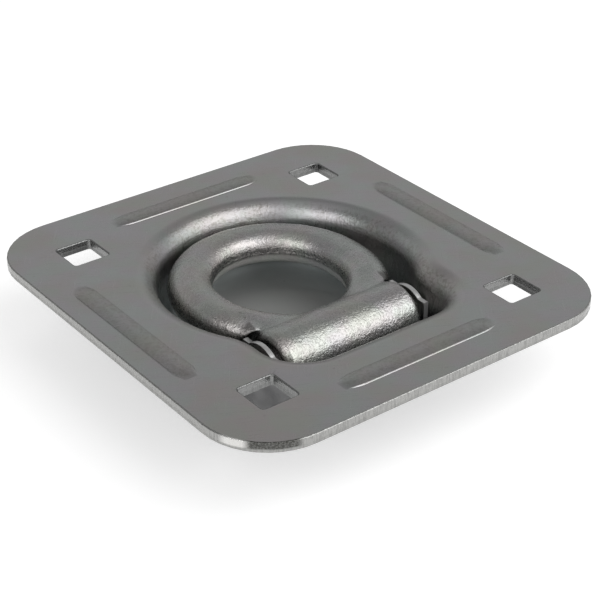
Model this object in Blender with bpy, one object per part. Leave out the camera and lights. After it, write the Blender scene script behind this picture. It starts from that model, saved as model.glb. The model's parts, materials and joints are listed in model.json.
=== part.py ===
# Recessed tie-down anchor: a pressed steel plate with a drawn pan, and a forged ring
# that folds down into the pan. The ring ends in a barrel, and a pin through the barrel
# is held by two lugs on the pan floor.
#
# Metres, +Z up. The origin is on the underside of the pan floor, in the middle of the
# plate. The hinge pin runs along X, and the free side of the ring points to +Y.

import math

import bmesh
import bpy
from mathutils import Matrix, Vector

MM = 0.001

# Pressed plate
PLATE_X = 120.65 * MM
PLATE_Y = 127.0 * MM
SHEET = 3.0 * MM
PLATE_CORNER = 19.2 * MM
PLATE_EDGE_ROUND = 0.5 * MM

# Square holes for carriage bolts
HOLE_SIDE = 10.8 * MM
HOLE_CORNER = 0.8 * MM
HOLE_PITCH_X = 80.5 * MM
HOLE_PITCH_Y = 85.7 * MM

# Drawn pan: a round bowl for the ring, and a square-ended throat in front of it for the
# barrel. Its outline follows from the ring and the pin, and from the room round them.
PAN_HEIGHT = 26.0 * MM
THROAT_CORNER = 17.5 * MM
WAIST_RADIUS = 12.0 * MM
RIM_RADIUS = 6.2 * MM
FLOOR_RADIUS = 7.5 * MM
WALL_DRAFT = math.radians(5.0)
SMALLEST_CORNER = 0.6 * MM
FINGER_ROOM = 5.2 * MM
RING_ROOM = 0.52 * MM
FRONT_ROOM = 6.92 * MM
FLOOR_ROOM = 0.6 * MM

# Pressed stiffening ribs, low beads on the face and grooves underneath. A margin runs
# from the edge of the plate to the middle of a rib.
RIB_WIDTH = 6.2 * MM
RIB_HEIGHT = 0.6 * MM
RIB_TAPER = 9.0 * MM
SIDE_RIB_LENGTH = 54.0 * MM
SIDE_RIB_MARGIN = 9.1 * MM
END_RIB_LENGTH = 50.0 * MM
END_RIB_MARGIN = 11.9 * MM

# Forged ring with its barrel
RING_OUTER = 30.0 * MM
RING_INNER = 17.8 * MM
RING_THICKNESS = 10.2 * MM
RING_SQUARENESS = 2.3
RING_REACH = 27.0 * MM
RING_LEG = 2.4 * MM
RING_LIFT = 4.6 * MM
BARREL_RADIUS = 9.8 * MM
BARREL_LENGTH = 45.0 * MM
BARREL_CHAMFER = 1.8 * MM
RING_SLIDE = 0.1 * MM
RELIEF_STEP = 0.2 * MM

# Hinge pin and its two lugs. A lug's shoulders are as high above the pin as LUG_SHOULDER.
HINGE_Y = -19.3 * MM
PIN_RADIUS = 4.75 * MM
PIN_HEAD_LIP = 0.45 * MM
PIN_HEAD_THICKNESS = 0.9 * MM
PIN_HEAD_ROUND = 0.4 * MM
LUG_RADIUS = 8.7 * MM
LUG_WIDTH = 14.8 * MM
LUG_SHOULDER = 6.2 * MM
LUG_THICKNESS = 1.5 * MM
LUG_PLAY = 1.35 * MM
LUG_RELIEF = 0.45 * MM

# Clearance between touching pieces, and how far a cutter runs past what it cuts
FIT_GAP = 0.3 * MM
OVERRUN = 1.0 * MM

# How finely each curve is divided, and the angle past which an edge is shaded sharp
BARREL_SIDES = 48
PIN_SIDES = 32
END_STEPS = 4
RING_STEPS = 36
SECTION_STEPS = 20
BOWL_STEPS = 44
CORNER_STEPS = 8
WAIST_STEPS = 5
WALL_STEPS = 6
PLATE_STEPS = 10
EDGE_STEPS = 2
HOLE_STEPS = 3
RIB_SIDES = 72
RIB_STEPS = 5
LUG_STEPS = 20
SHARP_ANGLE = math.radians(32.0)

# Finishes, as base colour and roughness
SHEET_FINISH = ((0.42, 0.42, 0.42), 0.38)
FORGING_FINISH = ((0.45, 0.45, 0.45), 0.42)
BAR_FINISH = ((0.48, 0.48, 0.48), 0.35)

# Depths below the face of the plate, and how far the pan comes in from rim to floor
FLOOR_DEPTH = PAN_HEIGHT - SHEET
RIM_END_DEPTH = RIM_RADIUS * (1 - math.sin(WALL_DRAFT))
WALL_END_DEPTH = FLOOR_DEPTH - FLOOR_RADIUS * (1 - math.sin(WALL_DRAFT))
HINGE_DEPTH = FLOOR_DEPTH - FLOOR_ROOM - BARREL_RADIUS
PAN_REACH = ((RIM_RADIUS + FLOOR_RADIUS) * math.cos(WALL_DRAFT)
             + (WALL_END_DEPTH - RIM_END_DEPTH) * math.tan(WALL_DRAFT))


def pan_inset(depth):
    # How far the pan wall lies in from the start of the rim, at a depth below the rim
    if depth < WALL_END_DEPTH:
        return RIM_RADIUS * math.cos(WALL_DRAFT) + (depth - RIM_END_DEPTH) * math.tan(WALL_DRAFT)
    return PAN_REACH - math.sqrt(FLOOR_RADIUS ** 2 - (depth - FLOOR_DEPTH + FLOOR_RADIUS) ** 2)


# Places along the pin, and how far from the pin's axis the lugs reach
PIN_HEAD_RADIUS = PIN_RADIUS + PIN_HEAD_LIP
LUG_INNER = BARREL_LENGTH / 2 + LUG_PLAY
LUG_OUTER = LUG_INNER + LUG_THICKNESS
PIN_SEAT = LUG_OUTER + FIT_GAP
LUG_SWEEP = max(LUG_RADIUS, math.hypot(LUG_WIDTH / 2, LUG_SHOULDER))

# Outline of the pan, where its rounded rim leaves the flat plate
BOWL_RADIUS = RING_OUTER + FINGER_ROOM + RIM_RADIUS
BOWL_Y = (HINGE_Y + RING_REACH + RING_OUTER + RING_ROOM + pan_inset(HINGE_DEPTH - RING_LIFT)
          - BOWL_RADIUS)
THROAT_HALF = (PIN_SEAT + PIN_HEAD_THICKNESS + FIT_GAP
               + pan_inset(HINGE_DEPTH + PIN_HEAD_RADIUS - PIN_HEAD_ROUND))
THROAT_FRONT = BARREL_RADIUS + FRONT_ROOM + pan_inset(HINGE_DEPTH) - HINGE_Y

TOP = PAN_HEIGHT
HINGE = Vector((0.0, HINGE_Y, TOP - HINGE_DEPTH))


def clear_scene():
    for old in list(bpy.data.objects):
        bpy.data.objects.remove(old, do_unlink=True)


def steel(name, colour, roughness):
    material = bpy.data.materials.new(name)
    material.use_nodes = True
    shader = material.node_tree.nodes["Principled BSDF"]
    shader.inputs["Base Color"].default_value = (*colour, 1.0)
    shader.inputs["Roughness"].default_value = roughness
    shader.inputs["Metallic"].default_value = 1.0
    return material


def add_object(name, bm, material=None, location=(0.0, 0.0, 0.0)):
    bmesh.ops.recalc_face_normals(bm, faces=bm.faces)
    mesh = bpy.data.meshes.new(name)
    bm.to_mesh(mesh)
    bm.free()
    mesh.shade_smooth()
    mesh.set_sharp_from_angle(angle=SHARP_ANGLE)
    piece = bpy.data.objects.new(name, mesh)
    piece.location = location
    bpy.context.collection.objects.link(piece)
    if material is not None:
        mesh.materials.append(material)
    return piece


def as_cutter(piece):
    piece.hide_render = True
    piece.display_type = "WIRE"
    return piece


def boolean(piece, other, operation):
    modifier = piece.modifiers.new(f"{operation.lower()}_{other.name}", "BOOLEAN")
    modifier.operation = operation
    modifier.solver = "EXACT"
    modifier.object = other


def arc(centre_x, centre_y, radius, start, stop, steps):
    points = []
    for step in range(steps + 1):
        angle = start + (stop - start) * step / steps
        points.append((centre_x + radius * math.cos(angle), centre_y + radius * math.sin(angle)))
    return points


def rounded_rectangle(half_x, half_y, corner, steps):
    points = []
    for quarter, (side_x, side_y) in enumerate(((1, 1), (-1, 1), (-1, -1), (1, -1))):
        start = quarter * math.pi / 2
        points += arc(side_x * (half_x - corner), side_y * (half_y - corner), corner,
                      start, start + math.pi / 2, steps)
    return points


def loft(bm, rings, closed=False):
    # A solid through rings of points, each as long as the first one. A closed loft joins
    # its last ring to its first, and an open one is capped at both ends.
    loops = []
    for ring in rings:
        verts = [bm.verts.new(point) for point in ring]
        loops.append([bm.edges.new((verts[i - 1], verts[i])) for i in range(len(verts))])
    following = loops[1:] + loops[:1] if closed else loops[1:]
    for near, far in zip(loops, following):
        bmesh.ops.bridge_loops(bm, edges=near + far)
    if not closed:
        for rim in (loops[0], loops[-1]):
            bmesh.ops.contextual_create(bm, geom=rim)
    return list({vert for loop in loops for edge in loop for vert in edge.verts})


def cut_away(bm, point, direction):
    # Remove what lies beyond the plane, on the side that direction points to, and cap it
    cut = bmesh.ops.bisect_plane(bm, geom=bm.verts[:] + bm.edges[:] + bm.faces[:],
                                 plane_co=point, plane_no=direction, clear_outer=True)
    rims = [item for item in cut["geom_cut"] if isinstance(item, bmesh.types.BMEdge)]
    bmesh.ops.holes_fill(bm, edges=rims)


def prism(bm, points, bottom, top):
    return loft(bm, [[(x, y, z) for x, y in points] for z in (bottom, top)])


def turned(bm, stations, sides):
    # A solid of revolution about X, through (x, radius) stations
    return loft(bm, [[(x, y, z) for y, z in arc(0.0, 0.0, radius, 0.0, math.tau, sides)[:-1]]
                     for x, radius in stations])


def rod_stations(half_length, radius, end_round):
    # The outline of a rod with rounded end edges
    stations = []
    for step in range(END_STEPS + 1):
        angle = math.pi / 2 * step / END_STEPS
        stations.append((half_length - end_round * (1 - math.cos(angle)),
                         radius - end_round * (1 - math.sin(angle))))
    return [(-x, r) for x, r in stations] + list(reversed(stations))


def pan_outline(inset):
    # Plan outline of the pan, moved inwards from the start of its rim by inset. The
    # throat's corner is no larger than the straight side that it ends.
    waist_x = THROAT_HALF + WAIST_RADIUS
    waist_drop = math.sqrt(max((BOWL_RADIUS + WAIST_RADIUS) ** 2 - waist_x ** 2, 0.0))
    lean = math.atan2(waist_drop, waist_x)
    throat_side = THROAT_FRONT + BOWL_Y - waist_drop
    corner = max(min(THROAT_CORNER, throat_side) - inset, SMALLEST_CORNER)
    right = arc(THROAT_HALF - inset - corner, corner + inset - THROAT_FRONT, corner,
                -math.pi / 2, 0.0, CORNER_STEPS)
    right += arc(waist_x, BOWL_Y - waist_drop, WAIST_RADIUS + inset,
                 math.pi, math.pi - lean, WAIST_STEPS)
    back = arc(0.0, BOWL_Y, BOWL_RADIUS - inset, -lean, math.pi + lean, BOWL_STEPS)
    left = [(-x, y) for x, y in reversed(right)]
    return right + back[1:-1] + left


def pan_profile(outward):
    # (inset, depth) stations down the pan wall: rim radius, drafted wall and floor
    # radius, on the face that lies outward from the inner face of the sheet
    angles = [(math.pi / 2 - WALL_DRAFT) * step / WALL_STEPS for step in range(WALL_STEPS + 1)]
    rim = RIM_RADIUS - outward
    floor = FLOOR_RADIUS + outward
    stations = [(rim * math.sin(a), RIM_RADIUS - rim * math.cos(a)) for a in angles]
    stations += [(PAN_REACH - floor * math.sin(a), FLOOR_DEPTH - FLOOR_RADIUS + floor * math.cos(a))
                 for a in reversed(angles)]
    return stations


def pan_solid(name, outward, start_depth):
    bm = bmesh.new()
    stations = [(0.0, start_depth)] + pan_profile(outward)
    loft(bm, [[(x, y, TOP - depth) for x, y in pan_outline(inset)] for inset, depth in stations])
    return as_cutter(add_object(name, bm))


def rib_tool(name, inward, bottom):
    # Four long spindles that rise above the face of the plate, as one tool cut off at bottom
    radius = (RIB_WIDTH ** 2 / 4 + RIB_HEIGHT ** 2) / (2 * RIB_HEIGHT)
    drop = radius - RIB_HEIGHT
    bm = bmesh.new()
    for length, distance, turn in ((END_RIB_LENGTH, PLATE_Y / 2 - END_RIB_MARGIN, 0.0),
                                   (SIDE_RIB_LENGTH, PLATE_X / 2 - SIDE_RIB_MARGIN, math.pi / 2)):
        for side in (-1, 1):
            stations = []
            for step in range(RIB_STEPS + 1):
                share = step / RIB_STEPS
                rise = RIB_HEIGHT * math.sin(share * math.pi / 2)
                stations.append((length / 2 - RIB_TAPER * share, drop + rise - inward))
            ends = [(-x, r) for x, r in stations] + list(reversed(stations))
            verts = turned(bm, ends, RIB_SIDES)
            bmesh.ops.translate(bm, vec=(0.0, side * distance, TOP - drop), verts=verts)
            bmesh.ops.rotate(bm, cent=(0.0, 0.0, 0.0), verts=verts,
                             matrix=Matrix.Rotation(turn, 3, "Z"))
    cut_away(bm, (0.0, 0.0, bottom), (0.0, 0.0, -1.0))
    return as_cutter(add_object(name, bm))


def bolt_hole_tool():
    bm = bmesh.new()
    square = rounded_rectangle(HOLE_SIDE / 2, HOLE_SIDE / 2, HOLE_CORNER, HOLE_STEPS)
    for x in (-HOLE_PITCH_X / 2, HOLE_PITCH_X / 2):
        for y in (-HOLE_PITCH_Y / 2, HOLE_PITCH_Y / 2):
            verts = prism(bm, square, TOP - SHEET - OVERRUN, TOP + OVERRUN)
            bmesh.ops.translate(bm, vec=(x, y, 0.0), verts=verts)
    return as_cutter(add_object("bolt_holes", bm))


def make_plate(material):
    bm = bmesh.new()
    outline = rounded_rectangle(PLATE_X / 2, PLATE_Y / 2, PLATE_CORNER, PLATE_STEPS)
    prism(bm, outline, TOP - SHEET, TOP)
    rims = [e for e in bm.edges if abs(e.verts[0].co.z - e.verts[1].co.z) < SHEET / 2]
    bmesh.ops.bevel(bm, geom=rims, offset=PLATE_EDGE_ROUND, affect="EDGES",
                    segments=EDGE_STEPS, profile=0.5)
    plate = add_object("pan_plate", bm, material)
    boolean(plate, pan_solid("pan_outside", SHEET, SHEET / 2), "UNION")
    boolean(plate, rib_tool("rib_beads", 0.0, TOP - SHEET / 2), "UNION")
    boolean(plate, pan_solid("pan_inside", 0.0, -OVERRUN), "DIFFERENCE")
    boolean(plate, rib_tool("rib_grooves", SHEET, TOP - SHEET - OVERRUN), "DIFFERENCE")
    boolean(plate, bolt_hole_tool(), "DIFFERENCE")
    plate.modifiers.new("even_shading", "WEIGHTED_NORMAL")
    return plate


def ring_section():
    # Forged section, a little squarer than an ellipse, as (radius, height) points
    half_width = (RING_OUTER - RING_INNER) / 2
    middle = (RING_OUTER + RING_INNER) / 2
    power = 2 / RING_SQUARENESS
    points = []
    for step in range(SECTION_STEPS):
        angle = math.tau * step / SECTION_STEPS
        across = math.copysign(abs(math.cos(angle)) ** power, math.cos(angle))
        up = math.copysign(abs(math.sin(angle)) ** power, math.sin(angle))
        points.append((middle + half_width * across, RING_THICKNESS / 2 * up))
    return points


def make_ring(material):
    # Two half turns with short straight legs between them. The half turn next to the
    # hinge is cut off at the barrel axis, so that only its legs run into the barrel.
    # The ring has slid along the pin towards the right lug.
    bm = bmesh.new()
    rings = []
    for start, centre_y in ((0.0, RING_REACH), (math.pi, RING_REACH - RING_LEG)):
        for step in range(RING_STEPS + 1):
            angle = start + math.pi * step / RING_STEPS
            rings.append([(radius * math.cos(angle), centre_y + radius * math.sin(angle),
                           RING_LIFT + height) for radius, height in ring_section()])
    loft(bm, rings, closed=True)
    cut_away(bm, (0.0, 0.0, 0.0), (0.0, -1.0, 0.0))
    place = HINGE + Vector((RING_SLIDE, 0.0, 0.0))
    ring = add_object("ring", bm, material, place)
    half_length = BARREL_LENGTH / 2

    # The legs are cut back round the lugs, just short of the ends of the barrel
    reliefs = bmesh.new()
    for side in (-1, 1):
        turned(reliefs, [(side * (half_length - RELIEF_STEP), LUG_SWEEP + LUG_RELIEF),
                         (side * (RING_OUTER + OVERRUN), LUG_SWEEP + LUG_RELIEF)], BARREL_SIDES)
    boolean(ring, as_cutter(add_object("ring_reliefs", reliefs, None, place)), "DIFFERENCE")

    barrel = bmesh.new()
    end = [(half_length, BARREL_RADIUS - BARREL_CHAMFER),
           (half_length - BARREL_CHAMFER, BARREL_RADIUS)]
    turned(barrel, [(-x, r) for x, r in end] + list(reversed(end)), BARREL_SIDES)
    boolean(ring, as_cutter(add_object("ring_barrel", barrel, None, place)), "UNION")

    bore = bmesh.new()
    turned(bore, [(side * (half_length + OVERRUN), PIN_RADIUS + FIT_GAP) for side in (-1, 1)],
           PIN_SIDES)
    boolean(ring, as_cutter(add_object("ring_bore", bore, None, place)), "DIFFERENCE")
    return ring


def make_pin(material):
    # A rivet: a plain shank with a flat head outside each lug
    bm = bmesh.new()
    ends = rod_stations(PIN_SEAT + PIN_HEAD_THICKNESS, PIN_HEAD_RADIUS, PIN_HEAD_ROUND)
    half = len(ends) // 2
    shoulders = [(-PIN_SEAT, PIN_HEAD_RADIUS), (-PIN_SEAT, PIN_RADIUS), (PIN_SEAT, PIN_RADIUS),
                 (PIN_SEAT, PIN_HEAD_RADIUS)]
    turned(bm, ends[:half] + shoulders + ends[half:], PIN_SIDES)
    return add_object("hinge_pin", bm, material, HINGE)


def lug_outline():
    # A straight shank with square shoulders, and a round head above them
    lean = math.asin(LUG_SHOULDER / LUG_RADIUS)
    shank = LUG_WIDTH / 2
    outline = [(shank, -HINGE.z), (shank, LUG_SHOULDER)]
    outline += arc(0.0, 0.0, LUG_RADIUS, lean, math.pi - lean, LUG_STEPS)
    return outline + [(-shank, LUG_SHOULDER), (-shank, -HINGE.z)]


def make_lug(name, side, seat, material):
    # A flat lug, cut at its foot to sit in the corner of the pan
    bm = bmesh.new()
    loft(bm, [[(side * x, y, z) for y, z in lug_outline()] for x in (LUG_INNER, LUG_OUTER)])
    lug = add_object(name, bm, material, HINGE)
    eye = bmesh.new()
    turned(eye, [(side * (LUG_INNER - OVERRUN), PIN_RADIUS + FIT_GAP),
                 (side * (LUG_OUTER + OVERRUN), PIN_RADIUS + FIT_GAP)], PIN_SIDES)
    boolean(lug, as_cutter(add_object(f"{name}_eye", eye, None, HINGE)), "DIFFERENCE")
    boolean(lug, seat, "INTERSECT")
    return lug


def main():
    clear_scene()
    pressed = steel("zinc_plated_sheet", *SHEET_FINISH)
    forged = steel("zinc_plated_forging", *FORGING_FINISH)
    turned_bar = steel("zinc_plated_bar", *BAR_FINISH)
    anchor = bpy.data.objects.new("tie_down_anchor", None)
    bpy.context.collection.objects.link(anchor)
    seat = pan_solid("lug_seat", -FIT_GAP, -OVERRUN)
    pieces = [make_plate(pressed), make_ring(forged), make_pin(turned_bar),
              make_lug("left_lug", -1, seat, pressed), make_lug("right_lug", 1, seat, pressed)]
    for piece in pieces:
        piece.parent = anchor


main()
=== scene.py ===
import json
import math

import bmesh
import bpy
from mathutils import Matrix, Vector, noise


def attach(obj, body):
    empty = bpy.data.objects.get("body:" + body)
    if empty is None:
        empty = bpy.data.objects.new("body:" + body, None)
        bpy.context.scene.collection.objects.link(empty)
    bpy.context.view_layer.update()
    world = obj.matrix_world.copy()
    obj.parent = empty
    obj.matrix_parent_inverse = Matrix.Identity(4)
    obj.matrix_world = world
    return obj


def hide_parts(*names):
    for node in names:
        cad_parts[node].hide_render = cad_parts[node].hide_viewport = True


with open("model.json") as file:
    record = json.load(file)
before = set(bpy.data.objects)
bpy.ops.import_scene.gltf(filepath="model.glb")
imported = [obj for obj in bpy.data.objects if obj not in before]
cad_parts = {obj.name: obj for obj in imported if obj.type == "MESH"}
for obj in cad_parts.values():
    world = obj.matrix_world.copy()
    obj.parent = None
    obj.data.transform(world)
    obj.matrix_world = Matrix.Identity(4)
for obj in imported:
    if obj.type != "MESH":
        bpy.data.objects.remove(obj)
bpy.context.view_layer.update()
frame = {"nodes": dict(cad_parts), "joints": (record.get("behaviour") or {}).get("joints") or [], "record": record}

mm = 0.001
nodes = frame["nodes"]
plateTop = next(m["pos_m"][2] for m in frame["record"]["mounts"] if m["name"] == "flange_top")
hinge = Vector(frame["joints"][0]["pos_m"])
print("Frame loaded")


# Camera, on the photo's line of sight
view = {
    "azimuth": -37.566,      # degrees, 0 looks along +Y
    "elevation": 30.796,
    "roll": 0.177,
    "distance": 427.627 * mm,
    "lens": 95.01,           # on the 36 mm sensor
    "aimRight": 1.833 * mm,  # from the middle of the plate, across the view
    "aimUp": -8.134 * mm,
}


def addCamera():
    azimuth = math.radians(view["azimuth"])
    elevation = math.radians(view["elevation"])
    back = Vector((math.sin(azimuth) * math.cos(elevation),
                   -math.cos(azimuth) * math.cos(elevation), math.sin(elevation)))
    right = Vector((math.cos(azimuth), math.sin(azimuth), 0.0))
    turn = Matrix.Rotation(math.radians(view["roll"]), 3, back)
    right = turn @ right
    up = back.cross(right)
    aim = Vector((0.0, 0.0, plateTop)) + right * view["aimRight"] + up * view["aimUp"]
    place = Matrix((right, up, back)).transposed().to_4x4()
    place.translation = aim + back * view["distance"]
    data = bpy.data.cameras.new("camera")
    data.lens = view["lens"]
    data.clip_start = 0.01
    data.clip_end = 20.0
    camera = bpy.data.objects.new("camera", data)
    camera.matrix_world = place
    bpy.context.collection.objects.link(camera)
    bpy.context.scene.camera = camera


# Soft studio light: a pale room, lighter on the camera's side, and two soft boxes there
studio = {
    "room": [(0.0, 0.13), (0.15, 0.34), (0.3, 0.47), (0.5, 0.62), (0.60, 0.46), (0.72, 0.26),
             (0.84, 0.28), (1.0, 0.52)],    # brightness behind the plate by height, as a sine
    "frontLevel": 1.05,      # brightness in front of it
    "backLeft": 0.40,        # how much darker the room is behind on the left, as a share
    "gap": (-0.40, -0.92, 0.0),             # towards a dark strip beside the camera
    "gapLevel": 0.55,
    "boxes": [
        {"name": "rightBox", "at": (0.32, -0.60, 0.735), "size": (1.00, 0.76), "power": 3.4},
        {"name": "leftBox", "at": (-0.76, -0.20, 0.62), "size": (0.62, 0.60), "power": 1.5},
    ],
    "floorColour": (0.75, 0.75, 0.75, 1.0),
    "floorGlow": 0.50,       # added where the camera or a reflection sees the floor
    "floorHalf": 3.0,
}


def addRoom():
    world = bpy.data.worlds.new("room")
    world.use_nodes = True
    bpy.context.scene.world = world
    tree = world.node_tree
    background = tree.nodes["Background"]
    place = tree.nodes.new("ShaderNodeTexCoord")
    split = tree.nodes.new("ShaderNodeSeparateXYZ")
    ramp = tree.nodes.new("ShaderNodeValToRGB")
    tree.links.new(place.outputs["Generated"], split.inputs[0])
    tree.links.new(split.outputs["Z"], ramp.inputs[0])
    front = addBand(tree, split.outputs["Y"], 0.05, -0.40)
    pale = studio["frontLevel"]
    tree.links.new(addBlend(tree, front, ramp.outputs["Color"], (pale, pale, pale, 1.0)),
                   background.inputs["Color"])
    left = addMath(tree, "MULTIPLY", addBand(tree, split.outputs["X"], -0.2, -0.7),
                   addBand(tree, split.outputs["Y"], -0.3, 0.1, 0.0, studio["backLeft"]))
    flat = addFlattened(tree, place.outputs["Generated"])
    flat = addNode(tree, "VectorMath", {0: flat}, operation="NORMALIZE").outputs[0]
    towards = addNode(tree, "VectorMath", {0: flat, 1: studio["gap"]},
                      operation="DOT_PRODUCT").outputs["Value"]
    gap = addBand(tree, towards, 0.955, 0.99, 1.0, studio["gapLevel"])
    tree.links.new(addMath(tree, "MULTIPLY", addMath(tree, "SUBTRACT", 1.0, left), gap),
                   background.inputs["Strength"])
    stops = ramp.color_ramp.elements
    while len(stops) < len(studio["room"]):
        stops.new(1.0)
    for stop, (height, level) in zip(stops, studio["room"]):
        stop.position = height
        stop.color = (level, level, level, 1.0)


def addBoxes():
    target = Vector((0.0, 0.0, plateTop))
    for box in studio["boxes"]:
        lamp = bpy.data.lights.new(box["name"], "AREA")
        lamp.shape = "RECTANGLE"
        lamp.size, lamp.size_y = box["size"]
        lamp.energy = box["power"]
        holder = bpy.data.objects.new(box["name"], lamp)
        holder.location = box["at"]
        holder.rotation_euler = (target - holder.location).to_track_quat("-Z", "Y").to_euler()
        bpy.context.collection.objects.link(holder)


def addFloor():
    bm = bmesh.new()
    bmesh.ops.create_grid(bm, x_segments=1, y_segments=1, size=studio["floorHalf"])
    mesh = bpy.data.meshes.new("floor")
    bm.to_mesh(mesh)
    bm.free()
    floor = bpy.data.objects.new("floor", mesh)
    bpy.context.collection.objects.link(floor)
    material = bpy.data.materials.new("paleFloor")
    material.use_nodes = True
    tree = material.node_tree
    shader = tree.nodes["Principled BSDF"]
    shader.inputs["Base Color"].default_value = studio["floorColour"]
    shader.inputs["Roughness"].default_value = 0.9
    rays = tree.nodes.new("ShaderNodeLightPath")
    seen = addMath(tree, "MAXIMUM", rays.outputs["Is Camera Ray"], rays.outputs["Is Glossy Ray"])
    seen = addMath(tree, "MAXIMUM", seen, rays.outputs["Is Transmission Ray"])
    glow = tree.nodes.new("ShaderNodeEmission")
    tree.links.new(addMath(tree, "MULTIPLY", seen, studio["floorGlow"]), glow.inputs["Strength"])
    both = tree.nodes.new("ShaderNodeAddShader")
    tree.links.new(shader.outputs[0], both.inputs[0])
    tree.links.new(glow.outputs[0], both.inputs[1])
    tree.links.new(both.outputs[0], tree.nodes["Material Output"].inputs["Surface"])
    mesh.materials.append(material)


# Small helpers for the node trees
def addNode(tree, kind, sockets, **settings):
    # Makes a shader node, sets it, and fills or links its sockets by name or number
    made = tree.nodes.new("ShaderNode" + kind)
    for name, value in settings.items():
        setattr(made, name, value)
    for socket, value in sockets.items():
        if isinstance(value, bpy.types.NodeSocket):
            tree.links.new(value, made.inputs[socket])
        else:
            made.inputs[socket].default_value = value
    return made


def addMath(tree, operation, first, second):
    return addNode(tree, "Math", {0: first, 1: second}, operation=operation).outputs[0]


def addNoise(tree, place, size, detail=2.0):
    # Noise whose patches are about as wide as size, in metres
    return addNode(tree, "TexNoise", {"Vector": place, "Scale": 1.0 / size,
                                      "Detail": detail}).outputs["Fac"]


def addBand(tree, value, low, high, start=0.0, end=1.0):
    # Goes smoothly from start to end while value goes from low to high
    return addNode(tree, "MapRange", {"Value": value, "From Min": low, "From Max": high,
                                      "To Min": start, "To Max": end},
                   interpolation_type="SMOOTHSTEP").outputs["Result"]


def addBlend(tree, share, first, second, way="MIX"):
    return addNode(tree, "Mix", {0: share, 6: first, 7: second},
                   data_type="RGBA", blend_type=way).outputs[2]


def addStretch(tree, place, scale):
    return addNode(tree, "Mapping", {"Vector": place, "Scale": scale}).outputs[0]


def addFlattened(tree, place):
    return addNode(tree, "VectorMath", {0: place, 1: (1.0, 1.0, 0.0)},
                   operation="MULTIPLY").outputs[0]


def addDistance(tree, place, point):
    return addNode(tree, "VectorMath", {0: place, 1: point}, operation="DISTANCE").outputs["Value"]


def newGroup(name, inputs, outputs):
    # A shader group: inputs and outputs are (name, kind) pairs, and a kind is Float,
    # Color or Vector
    group = bpy.data.node_groups.new(name, "ShaderNodeTree")
    for way, sockets in (("INPUT", inputs), ("OUTPUT", outputs)):
        for socket, kind in sockets:
            group.interface.new_socket(socket, in_out=way, socket_type="NodeSocket" + kind)
    given = group.nodes.new("NodeGroupInput").outputs
    put = group.nodes.new("NodeGroupOutput").inputs
    return group, given, put


def placeGroup(tree, group, sockets):
    made = tree.nodes.new("ShaderNodeGroup")
    made.node_tree = group
    for socket, value in sockets.items():
        if isinstance(value, bpy.types.NodeSocket):
            tree.links.new(value, made.inputs[socket])
        else:
            made.inputs[socket].default_value = value
    return made.outputs


# Grain of the zinc: fine crystals that sparkle, a slow waviness, and small dark pits
def makeZincGrain():
    tree, given, put = newGroup(
        "zincGrain",
        [("Place", "Vector"), ("Crystal Size", "Float"), ("Crystal", "Float"),
         ("Wave Size", "Float"), ("Wave", "Float"), ("Pits", "Float")],
        [("Height", "Float"), ("Pit", "Float"), ("Patch", "Float")])
    crystalScale = addMath(tree, "DIVIDE", 1.0, given["Crystal Size"])
    waveScale = addMath(tree, "DIVIDE", 1.0, given["Wave Size"])
    crystal = addNode(tree, "TexNoise", {"Vector": given["Place"], "Scale": crystalScale,
                                         "Detail": 2.0, "Roughness": 0.6}).outputs["Fac"]
    wave = addNode(tree, "TexNoise", {"Vector": given["Place"], "Scale": waveScale,
                                      "Detail": 1.0}).outputs["Fac"]
    spots = addNode(tree, "TexVoronoi", {"Vector": given["Place"],
                                         "Scale": 0.28 / mm, "Randomness": 1.0})
    chosen = addBand(tree, addNode(tree, "SeparateColor", {0: spots.outputs["Color"]}).outputs[0],
                     0.80, 0.97)
    near = addBand(tree, spots.outputs["Distance"], 0.05, 0.16, 1.0, 0.0)
    pit = addMath(tree, "MULTIPLY", addMath(tree, "MULTIPLY", chosen, near), given["Pits"])
    height = addMath(tree, "MULTIPLY", crystal, given["Crystal"])
    height = addMath(tree, "ADD", height, addMath(tree, "MULTIPLY", wave, given["Wave"]))
    height = addMath(tree, "SUBTRACT", height, addMath(tree, "MULTIPLY", pit, 0.04))
    tree.links.new(height, put["Height"])
    tree.links.new(pit, put["Pit"])
    tree.links.new(addNoise(tree, given["Place"], 16 * mm, 3.0), put["Patch"])
    return tree


# Tone of the plating: faintly warm and cool patches on top, and a painted shade and reflected tint that grows with
# depth below the face
def makeZincTone():
    tree, given, put = newGroup(
        "zincTone",
        [("Place", "Vector"), ("Patch", "Float"), ("Metal", "Color"), ("Deep Tint And Shade", "Color"),
         ("Deep Tint And Shade Share", "Float")],
        [("Colour", "Color")])
    height = addNode(tree, "SeparateXYZ", {0: given["Place"]}).outputs["Z"]
    uneven = addMath(tree, "ADD", height, addMath(tree, "MULTIPLY", given["Patch"], 3 * mm))
    # Painted shade and reflection: the deep colour takes over from 4 to 17 mm below the face
    depth = addBand(tree, uneven, plateTop - 4 * mm, plateTop - 17 * mm)
    warm = addBand(tree, given["Patch"], 0.35, 0.65)
    tint = addBlend(tree, warm, (0.975, 0.99, 1.0, 1.0), (1.0, 0.98, 0.945, 1.0))
    hue = addBand(tree, addNoise(tree, given["Place"], 7 * mm), 0.38, 0.62)
    hue = addBlend(tree, hue, (1.0, 0.965, 0.985, 1.0), (0.965, 1.0, 0.97, 1.0))
    tint = addBlend(tree, 1.0, tint, hue, "MULTIPLY")
    toned = addBlend(tree, 1.0, given["Metal"], tint, "MULTIPLY")
    share = addMath(tree, "MULTIPLY", depth, given["Deep Tint And Shade Share"])
    tree.links.new(addBlend(tree, share, toned, given["Deep Tint And Shade"]), put["Colour"])
    return tree


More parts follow.
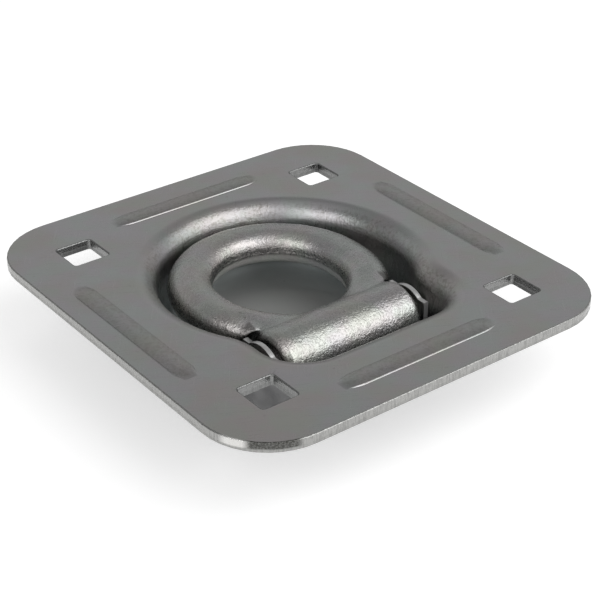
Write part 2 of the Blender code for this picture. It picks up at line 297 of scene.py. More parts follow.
# Fine straight scratches in two directions, where the part rubbed against others
def makeScratches():
    tree, given, put = newGroup("scratches", [("Place", "Vector")], [("Scratch", "Float")])
    lines = []
    for turn, width in ((0.5, 0.10 * mm), (2.2, 0.13 * mm)):
        turned = addNode(tree, "Mapping", {"Vector": given["Place"],
                                           "Rotation": (0.0, 0.0, turn)}).outputs[0]
        long = addStretch(tree, turned, (1.0 / (14 * mm), 1.0 / width, 1.0 / (30 * mm)))
        lines.append(addBand(tree, addNoise(tree, long, 1.0, 0.0), 0.74, 0.80))
    tree.links.new(addMath(tree, "MAXIMUM", *lines), put["Scratch"])
    return tree


# Colours that more than one finish uses
finish = {
    "plateMetal": (0.42, 0.42, 0.42, 1.0),
    "pitColour": (0.07, 0.06, 0.05, 1.0),
}


def startSteel(name):
    material = bpy.data.materials.new(name)
    material.use_nodes = True
    tree = material.node_tree
    shader = tree.nodes["Principled BSDF"]
    shader.inputs["Metallic"].default_value = 1.0
    place = tree.nodes.new("ShaderNodeTexCoord").outputs["Object"]
    return material, tree, shader, place


def addBump(tree, shader, height, depth):
    bump = addNode(tree, "Bump", {"Height": height, "Distance": depth, "Strength": 1.0})
    tree.links.new(bump.outputs[0], shader.inputs["Normal"])


sheet = {
    "crystal": 0.5 * mm, "bump": 0.06 * mm,
    "deepMetal": (0.40, 0.41, 0.40, 1.0),      # the pan floor in the eye of the ring
    "shadeMetal": (0.085, 0.115, 0.12, 1.0),   # painted shade on the pan floor under the ring
    "eye": (0.0, 7.7 * mm, 0.0), "shade": (21 * mm, 36 * mm),
    "floorDepth": (16 * mm, 21.5 * mm),        # where the wall goes over into the floor
    "rimStart": (0.15 * mm, 1.2 * mm), "rimEnd": (9 * mm, 3 * mm),    # the rough drawn rim
    # olive is painted shade, speckled over the start of the rim and laid faintly on the rib tops
    "paintedOliveShade": (0.15, 0.14, 0.11, 1.0), "speck": 0.9 * mm,
}


def makeZincSheet():
    material, tree, shader, place = startSteel("zincSheet")
    grain = placeGroup(tree, zincGrain, {"Place": place, "Crystal Size": sheet["crystal"],
                                         "Crystal": 1.0, "Wave Size": 5 * mm, "Wave": 0.0,
                                         "Pits": 0.2})
    height = addNode(tree, "SeparateXYZ", {0: place}).outputs["Z"]
    # The drawn rim of the pan, and less of it the ribs, have a rougher grain and specks of painted olive shade
    rimStart, rimFull = (plateTop - down for down in sheet["rimStart"])
    rimEnd, rimFade = (plateTop - down for down in sheet["rimEnd"])
    drawnRimAndShade = addBand(tree, height, rimStart, rimFull)
    drawnRimAndShade = addMath(tree, "MULTIPLY", drawnRimAndShade, addBand(tree, height, rimEnd, rimFade))
    drawnRimAndShade = addMath(tree, "MULTIPLY", drawnRimAndShade, addBand(tree, grain["Patch"], 0.30, 0.55, 0.45, 1.0))
    raised = addBand(tree, height, plateTop + 0.05 * mm, plateTop + 0.3 * mm)
    drawnRimAndShade = addMath(tree, "ADD", drawnRimAndShade, addMath(tree, "MULTIPLY", raised, 0.5))
    # The pan floor is pale in the eye of the ring, and dull, with painted shade darkening it under the ring
    floorStart, floorFull = (plateTop - down for down in sheet["floorDepth"])
    deepest = addBand(tree, height, floorStart, floorFull)
    # Painted shade: the floor turns to the shade colour from 21 to 36 mm from the eye's middle
    under = addBand(tree, addDistance(tree, addFlattened(tree, place), sheet["eye"]),
                    *sheet["shade"])
    deepTintAndShade = addBlend(tree, under, sheet["deepMetal"], sheet["shadeMetal"])
    colour = placeGroup(tree, zincTone, {"Place": place, "Patch": grain["Patch"],
                                         "Metal": finish["plateMetal"], "Deep Tint And Shade": deepTintAndShade,
                                         "Deep Tint And Shade Share": 0.85})["Colour"]
    rubbed = placeGroup(tree, scratches, {"Place": place})["Scratch"]
    specks = addBand(tree, addNoise(tree, place, sheet["speck"], 4.0), 0.45, 0.65, 0.0, 0.42)
    # Painted shade: olive specks on the drawn rim and a faint olive on the rib tops
    colour = addBlend(tree, addMath(tree, "MULTIPLY", specks, drawnRimAndShade), colour, sheet["paintedOliveShade"])
    colour = addBlend(tree, addMath(tree, "MULTIPLY", raised, 0.16), colour, sheet["paintedOliveShade"])
    colour = addBlend(tree, grain["Pit"], colour, finish["pitColour"])
    tree.links.new(colour, shader.inputs["Base Color"])
    rough = addBand(tree, grain["Patch"], 0.3, 0.7, 0.30, 0.36)
    rough = addMath(tree, "ADD", rough, addMath(tree, "MULTIPLY", deepest, 0.28))
    rough = addMath(tree, "SUBTRACT", rough, addMath(tree, "MULTIPLY", rubbed, 0.10))
    tree.links.new(rough, shader.inputs["Roughness"])
    pale = addMath(tree, "MULTIPLY", deepest, addMath(tree, "SUBTRACT", 1.0, under))
    tree.links.new(addMath(tree, "SUBTRACT", 1.0, addMath(tree, "MULTIPLY", pale, 0.6)),
                   shader.inputs["Metallic"])
    relief = addMath(tree, "ADD", 0.25, addMath(tree, "MULTIPLY", drawnRimAndShade, 1.7))
    relief = addMath(tree, "MULTIPLY", grain["Height"], relief)
    wave = addMath(tree, "MULTIPLY", addNoise(tree, place, 5 * mm, 1.0), 0.5)
    relief = addMath(tree, "ADD", relief, wave)
    relief = addMath(tree, "SUBTRACT", relief, addMath(tree, "MULTIPLY", rubbed, 0.05))
    addBump(tree, shader, relief, sheet["bump"])
    return material


# The underside's dark metal colour is painted shade
shadedUnderside = {"metal": (0.11, 0.11, 0.112, 1.0), "roughness": 0.42, "bump": 0.05 * mm}


def makeShadedZincUnder():
    # The underside of the sheet, duller than the face, and much darker with painted shade beneath the plate
    material, tree, shader, place = startSteel("zincUnderShaded")
    grain = placeGroup(tree, zincGrain, {"Place": place, "Crystal Size": 0.5 * mm,
                                         "Crystal": 0.6, "Wave Size": 5 * mm, "Wave": 0.4,
                                         "Pits": 0.4})
    patch = addBand(tree, grain["Patch"], 0.35, 0.65, 0.0, 0.3)
    colour = addBlend(tree, patch, shadedUnderside["metal"], finish["plateMetal"])
    colour = addBlend(tree, grain["Pit"], colour, finish["pitColour"])
    tree.links.new(colour, shader.inputs["Base Color"])
    shader.inputs["Roughness"].default_value = shadedUnderside["roughness"]
    addBump(tree, shader, grain["Height"], shadedUnderside["bump"])
    return material


cutEdge = {
    "metal": (0.37, 0.37, 0.36, 1.0), "drag": (0.19, 0.19, 0.185, 1.0), "bump": 0.09 * mm,
    "torn": (1.1 * mm, 1.7 * mm),              # below the face
    "paintedDarkReflection": (0.05, 0.05, 0.045, 1.0),          # painted dark reflection at the front corner
    "paintedDarkAt": (-51.9 * mm, -60.6 * mm, 25 * mm), "paintedDarkReach": (8 * mm, 5.5 * mm),
    "paintedGlint": (0.85, 0.84, 0.82, 1.0),         # and a painted glint beside it
    "paintedGlintAt": (-58.0 * mm, -53.5 * mm, 25 * mm), "paintedGlintReach": (4.5 * mm, 2 * mm),
    "holeShade": (0.12, 0.125, 0.13, 1.0),          # painted shade on the walls of the holes, which lie within these lines
    "holeX": (50 * mm, 48 * mm), "holeY": (53 * mm, 51 * mm),
}


def makeShearedEdge():
    # The cut edges: a burnished and speckled band above, a torn and dull one below
    material, tree, shader, place = startSteel("shearedEdge")
    grain = placeGroup(tree, zincGrain, {"Place": place, "Crystal Size": 0.4 * mm,
                                         "Crystal": 1.0, "Wave Size": 3 * mm, "Wave": 0.4,
                                         "Pits": 1.0})
    height = addNode(tree, "SeparateXYZ", {0: place}).outputs["Z"]
    uneven = addMath(tree, "ADD", height, addMath(tree, "MULTIPLY", grain["Patch"], 0.9 * mm))
    tornStart, tornFull = (plateTop - down for down in cutEdge["torn"])
    torn = addBand(tree, uneven, tornStart, tornFull)
    smooth = addMath(tree, "SUBTRACT", 1.0, torn)
    drag = addNoise(tree, addStretch(tree, place, (1.0, 1.0, 0.12)), 0.3 * mm)
    streaks = addBand(tree, drag, 0.40, 0.70, 0.0, 0.55)
    colour = addBlend(tree, streaks, cutEdge["metal"], cutEdge["drag"])
    colour = addBlend(tree, grain["Pit"], colour, finish["pitColour"])
    specks = addBand(tree, addNoise(tree, place, 0.35 * mm), 0.35, 0.6, 0.6, 0.95)
    # Painted reflection: a dark speckled stretch on the upper band at the front corner
    paintedDarkReflection = addBand(tree, addDistance(tree, place, cutEdge["paintedDarkAt"]), *cutEdge["paintedDarkReach"])
    paintedDarkReflection = addMath(tree, "MULTIPLY", addMath(tree, "MULTIPLY", paintedDarkReflection, specks), smooth)
    colour = addBlend(tree, paintedDarkReflection, colour, cutEdge["paintedDarkReflection"])
    # Painted highlight: a glint on the upper band beside it
    paintedGlint = addBand(tree, addDistance(tree, place, cutEdge["paintedGlintAt"]), *cutEdge["paintedGlintReach"])
    paintedGlint = addMath(tree, "MULTIPLY", addMath(tree, "MULTIPLY", paintedGlint, smooth), 0.6)
    colour = addBlend(tree, paintedGlint, colour, cutEdge["paintedGlint"])
    side = addNode(tree, "VectorMath", {0: place}, operation="ABSOLUTE").outputs[0]
    side = addNode(tree, "SeparateXYZ", {0: side}).outputs
    # Painted shade: the cut walls inside the holes are darkened
    inner = addMath(tree, "MULTIPLY", addBand(tree, side["X"], *cutEdge["holeX"]),
                    addBand(tree, side["Y"], *cutEdge["holeY"]))
    colour = addBlend(tree, addMath(tree, "MULTIPLY", inner, 0.45), colour, cutEdge["holeShade"])
    tree.links.new(colour, shader.inputs["Base Color"])
    tree.links.new(addMath(tree, "ADD", 0.24, addMath(tree, "MULTIPLY", torn, 0.26)),
                   shader.inputs["Roughness"])
    relief = addMath(tree, "MULTIPLY", grain["Height"], addMath(tree, "ADD", 0.35, smooth))
    relief = addMath(tree, "ADD", relief, addMath(tree, "MULTIPLY", drag, 0.35))
    addBump(tree, shader, relief, cutEdge["bump"])
    return material


forging = {
    # The deep colour is a painted reflection and shade: a darker teal on the ring's lower parts
    "metal": (0.45, 0.45, 0.445, 1.0), "deepTintAndShade": (0.28, 0.34, 0.345, 1.0),
    "crystal": 0.6 * mm, "bump": 0.14 * mm,
    "scale": (0.19, 0.165, 0.14, 1.0),         # specks of forging scale
    "low": (4.2 * mm, 3.4 * mm),               # the dull foot, above the hinge
    "lowBehind": (12 * mm, 14 * mm),           # and only this far behind it
    "end": (0.10, 0.095, 0.09, 1.0),           # painted shade on the ends of the barrel
    "shadedEndX": (21.6 * mm, 22.2 * mm), "shadedEndBehind": (10.5 * mm, 9 * mm),
}


def makeZincForging():
    material, tree, shader, place = startSteel("zincForging")
    grain = placeGroup(tree, zincGrain, {"Place": place, "Crystal Size": forging["crystal"],
                                         "Crystal": 1.0, "Wave Size": 3.5 * mm, "Wave": 0.8,
                                         "Pits": 0.5})
    # Below the face the ring takes on the deep colour, a painted teal reflection and shade
    colour = placeGroup(tree, zincTone, {"Place": place, "Patch": grain["Patch"],
                                         "Metal": forging["metal"], "Deep Tint And Shade": forging["deepTintAndShade"],
                                         "Deep Tint And Shade Share": 0.6})["Colour"]
    scale = addNoise(tree, place, 0.6 * mm, 3.0)
    colour = addBlend(tree, addBand(tree, scale, 0.45, 0.70, 0.0, 0.13), colour, forging["scale"])
    colour = addBlend(tree, grain["Pit"], colour, finish["pitColour"])
    split = addNode(tree, "SeparateXYZ", {0: place}).outputs
    lowStart, lowFull = (hinge.z + up for up in forging["low"])
    backStart, backFull = (hinge.y + far for far in forging["lowBehind"])
    low = addMath(tree, "MULTIPLY", addBand(tree, split["Z"], lowStart, lowFull),
                  addBand(tree, split["Y"], backStart, backFull))
    side = addMath(tree, "ABSOLUTE", split["X"], 0.0)
    side = addMath(tree, "ADD", side, addMath(tree, "MULTIPLY", scale, 0.6 * mm))
    # Painted shade: the barrel's ends and what lies beside them are darkened, no further than about 10 mm behind
    # the hinge
    endStart, endFull = (hinge.y + far for far in forging["shadedEndBehind"])
    end = addMath(tree, "MULTIPLY", addBand(tree, side, *forging["shadedEndX"]),
                  addBand(tree, split["Y"], endStart, endFull))
    colour = addBlend(tree, addMath(tree, "MULTIPLY", end, 0.7), colour, forging["end"])
    tree.links.new(colour, shader.inputs["Base Color"])
    rough = addBand(tree, scale, 0.35, 0.65, 0.25, 0.38)
    rough = addMath(tree, "ADD", rough, addMath(tree, "MULTIPLY", low, 0.18))
    tree.links.new(rough, shader.inputs["Roughness"])
    tree.links.new(addMath(tree, "SUBTRACT", 1.0, addMath(tree, "MULTIPLY", low, 0.5)),
                   shader.inputs["Metallic"])
    addBump(tree, shader, grain["Height"], forging["bump"])
    return material


bar = {
    "metal": (0.48, 0.48, 0.48, 1.0), "groove": (0.34, 0.34, 0.33, 1.0),
    "roughness": 0.33, "metallic": 0.6, "bump": 0.03 * mm,
}


def makeZincBar():
    # Fine turning marks round the rivet's axis
    material, tree, shader, place = startSteel("zincBar")
    grain = placeGroup(tree, zincGrain, {"Place": place, "Crystal Size": 0.4 * mm,
                                         "Crystal": 0.5, "Wave Size": 4 * mm, "Wave": 0.3,
                                         "Pits": 0.6})
    turned = addNoise(tree, addStretch(tree, place, (1.0, 0.05, 0.05)), 0.15 * mm)
    colour = addBlend(tree, addBand(tree, turned, 0.4, 0.7, 0.0, 0.25), bar["metal"], bar["groove"])
    colour = addBlend(tree, grain["Pit"], colour, finish["pitColour"])
    tree.links.new(colour, shader.inputs["Base Color"])
    shader.inputs["Roughness"].default_value = bar["roughness"]
    shader.inputs["Metallic"].default_value = bar["metallic"]
    addBump(tree, shader, addMath(tree, "ADD", grain["Height"], turned), bar["bump"])
    return material


addCamera()
addRoom()
addBoxes()
addFloor()
bpy.context.scene.view_settings.view_transform = "Standard"
print("Studio ready")

zincGrain = makeZincGrain()
zincTone = makeZincTone()
scratches = makeScratches()
zincSheet = makeZincSheet()
zincUnderShaded = makeShadedZincUnder()
shearedEdge = makeShearedEdge()
zincForging = makeZincForging()
zincBar = makeZincBar()
print("Zinc finishes ready")


# Small helpers for the meshes
def lineTo(bm, vert, x, y):
    end = bmesh.ops.extrude_vert_indiv(bm, verts=[vert])["verts"][0]
    end.co.x, end.co.y = x, y
    return end


def arcTo(bm, vert, x, y, angle, steps):
    # Walks on from vert round the centre (x, y), anticlockwise for a positive angle
    turned = bmesh.ops.spin(bm, geom=[vert], cent=(x, y, vert.co.z), axis=(0, 0, 1),
                            angle=angle, steps=steps)
    return turned["geom_last"][0]


def faceUp(bm, edges):
    bmesh.ops.contextual_create(bm, geom=edges)
    bm.faces.ensure_lookup_table()
    face = bm.faces[-1]
    if face.normal.z < 0:
        face.normal_flip()
    return face


def sinkFace(bm, face, steps, slot):
    # Moves a face through (inward, down) steps, and leaves a wall in this material behind it
    for inward, down in steps:
        wall = bmesh.ops.inset_region(bm, faces=[face], thickness=inward, depth=-down,
                                      use_even_offset=True, use_boundary=True)
        for side in wall["faces"]:
            side.material_index = slot


def joinInto(whole, part):
    mesh = bpy.data.meshes.new("part")
    part.to_mesh(mesh)
    part.free()
    whole.from_mesh(mesh)
    bpy.data.meshes.remove(mesh)


def fillFlat(bm, height, down, slot):
    # Fills the flat sheet between all the open loops at this height
    loops = [edge for edge in bm.edges if edge.is_boundary
             and all(abs(vert.co.z - height) < 0.001 * mm for vert in edge.verts)]
    filled = bmesh.ops.triangle_fill(bm, use_beauty=True, use_dissolve=False, edges=loops,
                                     normal=(0, 0, -1 if down else 1))["geom"]
    for face in filled:
        if isinstance(face, bmesh.types.BMFace):
            face.material_index = slot


def addPiece(name, bm, materials, body, replaced, smooth=32.0):
    bmesh.ops.remove_doubles(bm, verts=bm.verts[:], dist=0.002 * mm)
    bmesh.ops.recalc_face_normals(bm, faces=bm.faces[:])
    mesh = bpy.data.meshes.new(name)
    bm.to_mesh(mesh)
    bm.free()
    for material in materials:
        mesh.materials.append(material)
    mesh.shade_smooth()
    mesh.set_sharp_from_angle(angle=math.radians(smooth))
    piece = bpy.data.objects.new(name, mesh)
    bpy.context.collection.objects.link(piece)
    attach(piece, body)
    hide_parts(replaced)
    return piece


# The pressed plate, a sheet with its upper and lower skin
faceSlot, cutSlot, underSlot = 0, 1, 2    # its materials
plate = {
    "sizeX": 120.65 * mm, "sizeY": 127.0 * mm, "sheet": 3.0 * mm, "corner": 19.2 * mm,
    "topRound": 0.4 * mm, "roundSteps": 4, "underRound": 0.5 * mm, "underSteps": 3,
    "holeSide": 10.8 * mm, "holeCorner": 0.9 * mm, "holeRound": 0.4 * mm,
    "pitchX": 80.5 * mm, "pitchY": 85.7 * mm,
    "rimRadius": 6.2 * mm, "floorRadius": 7.5 * mm, "floorDepth": 23.0 * mm,
    "draft": math.radians(5.0), "wallSteps": 12,
    "bowlRadius": 41.4 * mm, "waistRadius": 12.0 * mm, "throatCorner": 17.5 * mm,
    "bowlSteps": 80, "waistSteps": 10, "cornerSteps": 16,
    "throatHalf": 34.16 * mm, "throatFront": 42.8 * mm, "bowlY": 3.2 * mm,
    "ribWidth": 6.2 * mm, "ribHeight": 0.6 * mm, "ribTaper": 5.5 * mm,
    "ribStep": 0.34,         # share of a rib's height that stands as a steep step at its foot
    "ribFoot": 0.28 * mm,    # width of that step
    "grooveIn": 0.65 * mm,   # how much narrower the groove under a rib is on each side
    "sideRib": 54.0 * mm, "sideMargin": 9.1 * mm, "endRib": 50.0 * mm, "endMargin": 11.9 * mm,
}


def quarterSteps(radius, steps, outward):
    # (inward, down) steps round a quarter turn, from level to steep
    angles = [math.pi / 2 * step / steps for step in range(steps + 1)]
    points = [(radius * math.sin(a), radius * (1 - math.cos(a))) for a in angles]
    sign = -1 if outward else 1
    return [(sign * (b[0] - a[0]), b[1] - a[1]) for a, b in zip(points, points[1:])]


def panSteps(outward):
    # Down the pan: rim radius, drafted wall and floor radius, on a skin that far outward
    draft = plate["draft"]
    reach = plate["rimRadius"] + plate["floorRadius"]
    rimEnd = plate["rimRadius"] * (1 - math.sin(draft))
    wallEnd = plate["floorDepth"] - plate["floorRadius"] * (1 - math.sin(draft))
    floorIn = reach * math.cos(draft) + (wallEnd - rimEnd) * math.tan(draft)
    rim = plate["rimRadius"] - outward
    floor = plate["floorRadius"] + outward
    angles = [(math.pi / 2 - draft) * step / plate["wallSteps"]
              for step in range(plate["wallSteps"] + 1)]
    stations = [(rim * math.sin(a), plate["rimRadius"] - rim * math.cos(a)) for a in angles]
    stations += [(floorIn - floor * math.sin(a),
                  plate["floorDepth"] - plate["floorRadius"] + floor * math.cos(a))
                 for a in reversed(angles)]
    return [(b[0] - a[0], b[1] - a[1]) for a, b in zip(stations, stations[1:])]


def addPan(whole, height, outward, slot):
    # Right half of the outline, walked from the front to the back, then mirrored
    half, front, bowlY = plate["throatHalf"], plate["throatFront"], plate["bowlY"]
    corner, waist, bowl = plate["throatCorner"], plate["waistRadius"], plate["bowlRadius"]
    waistX = half + waist
    waistDrop = math.sqrt((bowl + waist) ** 2 - waistX ** 2)
    lean = math.atan2(waistDrop, waistX)
    bm = bmesh.new()
    vert = bm.verts.new((0.0, -front, height))
    vert = lineTo(bm, vert, half - corner, -front)
    vert = arcTo(bm, vert, half - corner, corner - front, math.pi / 2, plate["cornerSteps"])
    vert = lineTo(bm, vert, half, bowlY - waistDrop)
    vert = arcTo(bm, vert, waistX, bowlY - waistDrop, -lean, plate["waistSteps"])
    vert = arcTo(bm, vert, 0.0, bowlY, math.pi / 2 + lean, plate["bowlSteps"])
    bmesh.ops.remove_doubles(bm, verts=bm.verts[:], dist=0.002 * mm)
    bmesh.ops.mirror(bm, geom=bm.verts[:] + bm.edges[:], matrix=Matrix.Identity(4),
                     merge_dist=0.002 * mm, axis="X")
    floor = faceUp(bm, bm.edges[:])
    floor.material_index = slot
    sinkFace(bm, floor, panSteps(outward), slot)
    joinInto(whole, bm)


def addRounded(whole, sizeX, sizeY, corner, x, y, steps):
    # A rounded rectangle at the plate's face, whose wall goes down through steps and is
    # left open at its end
    bm = bmesh.new()
    bmesh.ops.create_grid(bm, x_segments=1, y_segments=1, size=0.5)
    bmesh.ops.scale(bm, vec=(sizeX, sizeY, 1.0), verts=bm.verts[:])
    bmesh.ops.bevel(bm, geom=bm.verts[:], affect="VERTICES", offset=corner, segments=10,
                    profile=0.5, material=-1)
    bmesh.ops.translate(bm, vec=(x, y, plateTop), verts=bm.verts[:])
    bm.faces.ensure_lookup_table()
    face = bm.faces[0]
    if face.normal.z < 0:
        face.normal_flip()
    sinkFace(bm, face, steps, cutSlot)
    bmesh.ops.delete(bm, geom=[face], context="FACES_ONLY")
    joinInto(whole, bm)


def addRib(whole, length, x, y, turn, height, half, slot):
    # A low crowned bead with steep sides and faded ends, on the face or, narrower, as the
    # groove beneath it
    bm = bmesh.new()
    bmesh.ops.create_grid(bm, x_segments=56, y_segments=24, size=1.0)
    for vert in bm.verts:
        along = math.sin(vert.co.x * math.pi / 2) * length / 2
        share = max(min((length / 2 - abs(along)) / plate["ribTaper"], 1.0), 0.0)
        share = math.sin(share * math.pi / 2)
        width = half * (0.6 + 0.4 * share)
        across = math.sin(vert.co.y * math.pi / 2) * width
        inside = width - abs(across)
        step = min(inside / plate["ribFoot"], 1.0)
        form = plate["ribStep"] * step * step * (3 - 2 * step)
        form += (1 - plate["ribStep"]) * (1 - (1 - inside / width) ** 2)
        vert.co = Vector((along, across, plate["ribHeight"] * share * form))
    bmesh.ops.remove_doubles(bm, verts=bm.verts[:], dist=0.004 * mm)
    bmesh.ops.rotate(bm, cent=(0, 0, 0), matrix=Matrix.Rotation(turn, 3, "Z"), verts=bm.verts[:])
    bmesh.ops.translate(bm, vec=(x, y, height), verts=bm.verts[:])
    for face in bm.faces:
        face.material_index = slot
    joinInto(whole, bm)


def makePlate():
    whole = bmesh.new()
    thick, steps = plate["sheet"], plate["roundSteps"]
    under = plateTop - thick
    addPan(whole, plateTop, 0.0, faceSlot)
    addPan(whole, under, thick, underSlot)
    top, low = plate["topRound"], plate["underRound"]
    outer = quarterSteps(top, steps, True) + [(0.0, thick - top - low)]
    outer += reversed(quarterSteps(low, plate["underSteps"], False))
    addRounded(whole, plate["sizeX"] - 2 * top, plate["sizeY"] - 2 * top, plate["corner"] - top,
               0.0, 0.0, outer)
    lip = plate["holeRound"]
    inner = quarterSteps(lip, steps, False) + [(0.0, thick - lip)]
    for x in (-plate["pitchX"] / 2, plate["pitchX"] / 2):
        for y in (-plate["pitchY"] / 2, plate["pitchY"] / 2):
            addRounded(whole, plate["holeSide"] + 2 * lip, plate["holeSide"] + 2 * lip,
                       plate["holeCorner"] + lip, x, y, inner)
    half = plate["ribWidth"] / 2
    for height, reach, slot in ((plateTop, half, faceSlot),
                                (under, half - plate["grooveIn"], underSlot)):
        for side in (-1, 1):
            addRib(whole, plate["endRib"], 0.0, side * (plate["sizeY"] / 2 - plate["endMargin"]),
                   0.0, height, reach, slot)
            addRib(whole, plate["sideRib"], side * (plate["sizeX"] / 2 - plate["sideMargin"]), 0.0,
                   math.pi / 2, height, reach, slot)
    fillFlat(whole, plateTop, False, faceSlot)
    fillFlat(whole, under, True, underSlot)
    piece = addPiece("panPlate", whole, [zincSheet, shearedEdge, zincUnderShaded], "pan", "pan_plate")
    even = piece.modifiers.new("evenShading", "WEIGHTED_NORMAL")
    even.keep_sharp = True


makePlate()
print("Plate pressed")


# The forged ring and its barrel, measured from the hinge
ring = {
    "outer": 30.0 * mm, "inner": 17.8 * mm, "thickness": 10.2 * mm,
    "squareness": 2.3, "footSquareness": 3.2, "footLift": 0.14,
    "reach": 27.0 * mm, "leg": 2.4 * mm, "lift": 4.6 * mm, "slide": 0.1 * mm,
    "barrelRadius": 9.8 * mm, "barrelLength": 45.0 * mm, "chamfer": 1.8 * mm,
    "bore": 5.05 * mm, "relief": 10.1 * mm, "reliefStep": 2.2 * mm,
    "neckDrop": 0.9 * mm,    # how far the arms dip where they meet the barrel
    "neckEnd": 15 * mm, "neckBlend": 9 * mm,
    "voxel": 0.38 * mm, "smoothing": 7,
    "flash": 0.17 * mm,      # height of the parting line left by the dies
    "flashWidth": 0.42 * mm, "flashDrop": 0.3 * mm, "flashWander": 0.15 * mm,
    "unevenness": 0.07 * mm, "swell": 4.5 * mm, "ripple": 1.4 * mm,
}


def makeTool(name, bm):
    # A helper solid for a Boolean, taken away again afterwards
    bmesh.ops.translate(bm, vec=hinge + Vector((ring["slide"], 0, 0)), verts=bm.verts[:])
    bmesh.ops.recalc_face_normals(bm, faces=bm.faces[:])
    mesh = bpy.data.meshes.new(name)
    bm.to_mesh(mesh)
    bm.free()
    tool = bpy.data.objects.new(name, mesh)
    bpy.context.collection.objects.link(tool)
    return tool


def addRod(bm, radius, start, end, chamfer=0.0):
    # A rod along X
    made = bmesh.ops.create_cone(bm, cap_ends=True, cap_tris=False, segments=96, radius1=radius,
                                 radius2=radius, depth=end - start)["verts"]
    if chamfer:
        rims = [edge for edge in bm.edges if len({round(v.co.z, 6) for v in edge.verts}) == 1]
        bmesh.ops.bevel(bm, geom=rims, affect="EDGES", offset=chamfer, segments=1, profile=0.5,
                        material=-1)
        made = bm.verts[:]
    bmesh.ops.rotate(bm, cent=(0, 0, 0), matrix=Matrix.Rotation(math.pi / 2, 3, "Y"), verts=made)
    bmesh.ops.translate(bm, vec=((start + end) / 2, 0, 0), verts=made)


def addHoop(bm):
    # The section is turned half round, led along a short leg, turned again and closed
    middle = (ring["outer"] + ring["inner"]) / 2
    halfWidth = (ring["outer"] - ring["inner"]) / 2
    halfHeight = ring["thickness"] / 2
    bmesh.ops.create_circle(bm, cap_ends=False, radius=1.0, segments=64)
    for vert in bm.verts:
        foot = min(max(-3 * vert.co.x, 0.0), 1.0) * min(max(-3 * vert.co.y, 0.0), 1.0)
        power = 2 / (ring["squareness"] + foot * (ring["footSquareness"] - ring["squareness"]))
        across = math.copysign(abs(vert.co.x) ** power, vert.co.x)
        up = math.copysign(abs(vert.co.y) ** power, vert.co.y)
        up *= 1 - foot * ring["footLift"]
        vert.co = Vector((middle + halfWidth * across, ring["reach"],
                          ring["lift"] + halfHeight * up))
    loop = bm.verts[:] + bm.edges[:]
    for centreY, angle, shift in ((ring["reach"], math.pi, 0.0), (0.0, 0.0, -ring["leg"]),
                                  (ring["reach"] - ring["leg"], math.pi, 0.0),
                                  (0.0, 0.0, ring["leg"])):
        loop = bmesh.ops.spin(bm, geom=loop, cent=(0, centreY, 0), axis=(0, 0, 1), angle=angle,
                              dvec=(0, shift, 0), steps=96 if angle else 1)["geom_last"]
    bmesh.ops.remove_doubles(bm, verts=bm.verts[:], dist=0.002 * mm)
    for vert in bm.verts:
        above = (vert.co.z - ring["lift"]) / halfHeight
        if above > 0:
            near = min(max((ring["neckEnd"] - vert.co.y) / ring["neckBlend"], 0.0), 1.0)
            vert.co.z -= ring["neckDrop"] * above * near * near * (3 - 2 * near)
    cut = bmesh.ops.bisect_plane(bm, geom=bm.verts[:] + bm.edges[:] + bm.faces[:],
                                 plane_co=(0, 0, 0), plane_no=(0, -1, 0), clear_outer=True)
    bmesh.ops.holes_fill(bm, edges=[part for part in cut["geom_cut"]
                                    if isinstance(part, bmesh.types.BMEdge)])


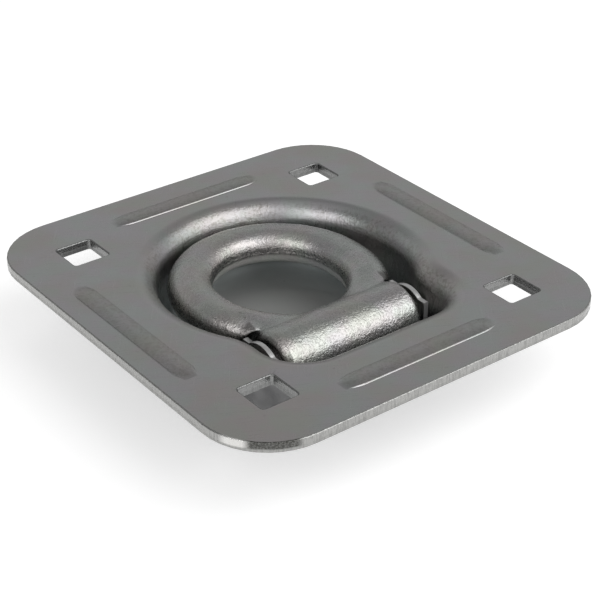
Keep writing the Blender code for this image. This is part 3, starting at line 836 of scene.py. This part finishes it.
def makeRing():
    half = ring["barrelLength"] / 2
    hoop, reliefs, barrel, bore = (bmesh.new() for _ in range(4))
    addHoop(hoop)
    for side in (-1, 1):
        ends = sorted((side * (half - ring["reliefStep"]), side * (ring["outer"] + 2 * mm)))
        addRod(reliefs, ring["relief"], *ends)
    addRod(barrel, ring["barrelRadius"], -half, half, ring["chamfer"])
    addRod(bore, ring["bore"], -half - 1 * mm, half + 1 * mm)
    rough = makeTool("roughRing", hoop)
    tools = [makeTool("reliefs", reliefs), makeTool("barrel", barrel), makeTool("bore", bore)]
    for tool, operation in zip(tools, ("DIFFERENCE", "UNION", "DIFFERENCE")):
        if tool.name == "bore":
            remesh = rough.modifiers.new("forged", "REMESH")
            remesh.mode = "VOXEL"
            remesh.voxel_size = ring["voxel"]
            soften = rough.modifiers.new("soften", "SMOOTH")
            soften.factor = 0.5
            soften.iterations = ring["smoothing"]
        cut = rough.modifiers.new(tool.name, "BOOLEAN")
        cut.operation = operation
        cut.solver = "EXACT"
        cut.object = tool
    graph = bpy.context.evaluated_depsgraph_get()
    mesh = bpy.data.meshes.new_from_object(rough.evaluated_get(graph))
    for helper in [rough] + tools:
        bpy.data.objects.remove(helper, do_unlink=True)
    bm = bmesh.new()
    bm.from_mesh(mesh)
    bpy.data.meshes.remove(mesh)
    bm.normal_update()
    middle = hinge.z + ring["lift"]
    for vert in bm.verts:
        axisFar = math.hypot(vert.co.y - hinge.y, vert.co.z - hinge.z)
        if axisFar < ring["bore"] + 0.4 * mm:
            continue
        swell = noise.noise(vert.co / ring["swell"]) + 0.4 * noise.noise(vert.co / ring["ripple"])
        lift = ring["unevenness"] * swell
        if axisFar > ring["barrelRadius"] + 0.5 * mm and abs(vert.normal.z) < 0.75:
            off = vert.co.z - middle + ring["flashDrop"]
            off += ring["flashWander"] * noise.noise(vert.co / (6 * mm))
            lift += ring["flash"] * math.exp(-(off / ring["flashWidth"]) ** 2)
        vert.co += vert.normal * lift
    addPiece("liftingRing", bm, [zincForging], "ring", "ring", 60.0)


makeRing()
print("Ring forged")


# The two lugs keep the solids' outline, with a smaller head and eased edges
lug = {"shoulder": 6.2 * mm, "head": 8.7 * mm, "smallHead": 7.9 * mm, "ease": 0.18 * mm}


def makeLug(name, node):
    bm = bmesh.new()
    bm.from_mesh(nodes[node].data)
    bmesh.ops.remove_doubles(bm, verts=bm.verts[:], dist=0.005 * mm)
    bmesh.ops.dissolve_limit(bm, angle_limit=math.radians(1.0), verts=bm.verts[:],
                             edges=bm.edges[:])
    oldLean = math.asin(lug["shoulder"] / lug["head"])
    newLean = math.asin(lug["shoulder"] / lug["smallHead"])
    for vert in bm.verts:
        y, z = vert.co.y - hinge.y, vert.co.z - hinge.z
        if z > lug["shoulder"] - 0.05 * mm and math.hypot(y, z) < lug["head"] + 0.05 * mm:
            share = (math.atan2(z, y) - oldLean) / (math.pi - 2 * oldLean)
            angle = newLean + share * (math.pi - 2 * newLean)
            vert.co.y = hinge.y + lug["smallHead"] * math.cos(angle)
            vert.co.z = hinge.z + lug["smallHead"] * math.sin(angle)
    bm.normal_update()
    for face in bm.faces:
        face.material_index = 0 if abs(face.normal.x) > 0.7 else 1
    rims = [rim for rim in bm.edges if len(rim.link_faces) == 2
            and rim.calc_face_angle() > math.radians(60) and rim.calc_length() > 0.3 * mm
            and min(vert.co.z for vert in rim.verts) > 10 * mm
            and {face.material_index for face in rim.link_faces} == {0, 1}]
    bmesh.ops.bevel(bm, geom=rims, affect="EDGES", offset=lug["ease"], segments=2, profile=0.5,
                    material=-1, clamp_overlap=True)
    addPiece(name, bm, [zincSheet, zincBar], "pan", node, 35.0)


makeLug("leftLug", "left_lug")
makeLug("rightLug", "right_lug")
nodes["hinge_pin"].data.materials.clear()
nodes["hinge_pin"].data.materials.append(zincBar)
print("Lugs and rivet ready")
